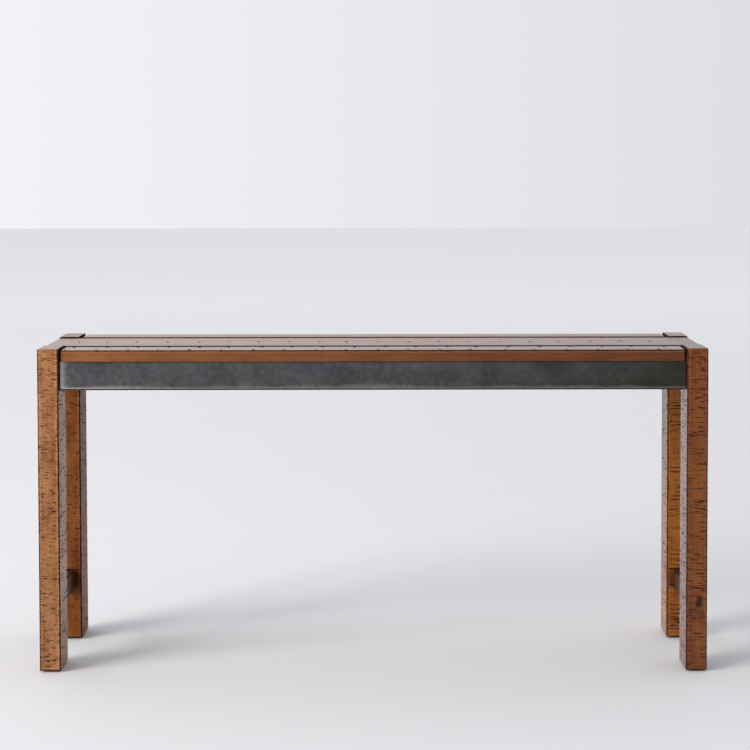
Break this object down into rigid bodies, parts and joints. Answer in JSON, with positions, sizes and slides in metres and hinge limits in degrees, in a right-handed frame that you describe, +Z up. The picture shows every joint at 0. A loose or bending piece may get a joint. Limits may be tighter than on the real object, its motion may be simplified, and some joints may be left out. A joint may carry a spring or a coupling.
{
  "type": "counter-height console table",
  "caption": "Long narrow counter-height timber table with full-height legs, planks set apart by shadow gaps, steel-clad aprons, low end stretchers and screw levelling feet.",
  "frame": {"origin": "centre of the footprint, on the floor", "axes": "+X along the length to the right as seen from the front, -Y towards the front, +Z up"},
  "size_m": [1.88, 0.44, 0.914],
  "materials": {
    "timber": "satin clear coat over worn, saw-marked brown timber",
    "hidden_timber": "planed and left bare",
    "cladding_steel": "blackened, clouded and rubbed along its edges",
    "bracket_steel": "zinc plated, dull",
    "dowel_wood": "plain beech",
    "zinc_steel": "bright zinc plated",
    "insert_brass": "turned",
    "pad_plastic": "matt black"
  },
  "bodies": {
    "table": {"front_left_leg": "timber", "front_right_leg": "timber", "rear_left_leg": "timber", "rear_right_leg": "timber", "front_plank": "timber", "middle_plank": "timber", "rear_plank": "timber", "front_apron": "timber", "rear_apron": "timber", "left_end_rail": "timber", "right_end_rail": "timber", "left_stretcher": "timber", "right_stretcher": "timber", "left_batten": "hidden_timber", "inner_left_batten": "hidden_timber", "inner_right_batten": "hidden_timber", "right_batten": "hidden_timber", "front_cladding": "cladding_steel", "rear_cladding": "cladding_steel", "left_cladding": "cladding_steel", "right_cladding": "cladding_steel", "front_left_bracket": "bracket_steel", "front_right_bracket": "bracket_steel", "rear_left_bracket": "bracket_steel", "rear_right_bracket": "bracket_steel", "end_clips": "bracket_steel", "apron_dowels": "dowel_wood", "end_rail_dowels": "dowel_wood", "stretcher_dowels": "dowel_wood", "plank_screws": "zinc_steel", "batten_screws": "zinc_steel", "bracket_screws": "zinc_steel", "lag_bolts": "zinc_steel", "lag_washers": "zinc_steel", "end_clip_screws": "zinc_steel", "front_left_insert": "insert_brass", "front_right_insert": "insert_brass", "rear_left_insert": "insert_brass", "rear_right_insert": "insert_brass"},
    "front_left_foot": {"front_left_stud": "zinc_steel", "front_left_pad": "pad_plastic"},
    "front_right_foot": {"front_right_stud": "zinc_steel", "front_right_pad": "pad_plastic"},
    "rear_left_foot": {"rear_left_stud": "zinc_steel", "rear_left_pad": "pad_plastic"},
    "rear_right_foot": {"rear_right_stud": "zinc_steel", "rear_right_pad": "pad_plastic"}
  },
  "joints": [
    {"name": "front_left_levelling", "type": "slide", "parent": "table", "child": "front_left_foot", "axis": [0, 0, -1], "range_m": [0, 0.012]},
    {"name": "front_right_levelling", "type": "slide", "parent": "table", "child": "front_right_foot", "axis": [0, 0, -1], "range_m": [0, 0.012]},
    {"name": "rear_left_levelling", "type": "slide", "parent": "table", "child": "rear_left_foot", "axis": [0, 0, -1], "range_m": [0, 0.012]},
    {"name": "rear_right_levelling", "type": "slide", "parent": "table", "child": "rear_right_foot", "axis": [0, 0, -1], "range_m": [0, 0.012]}
  ]
}
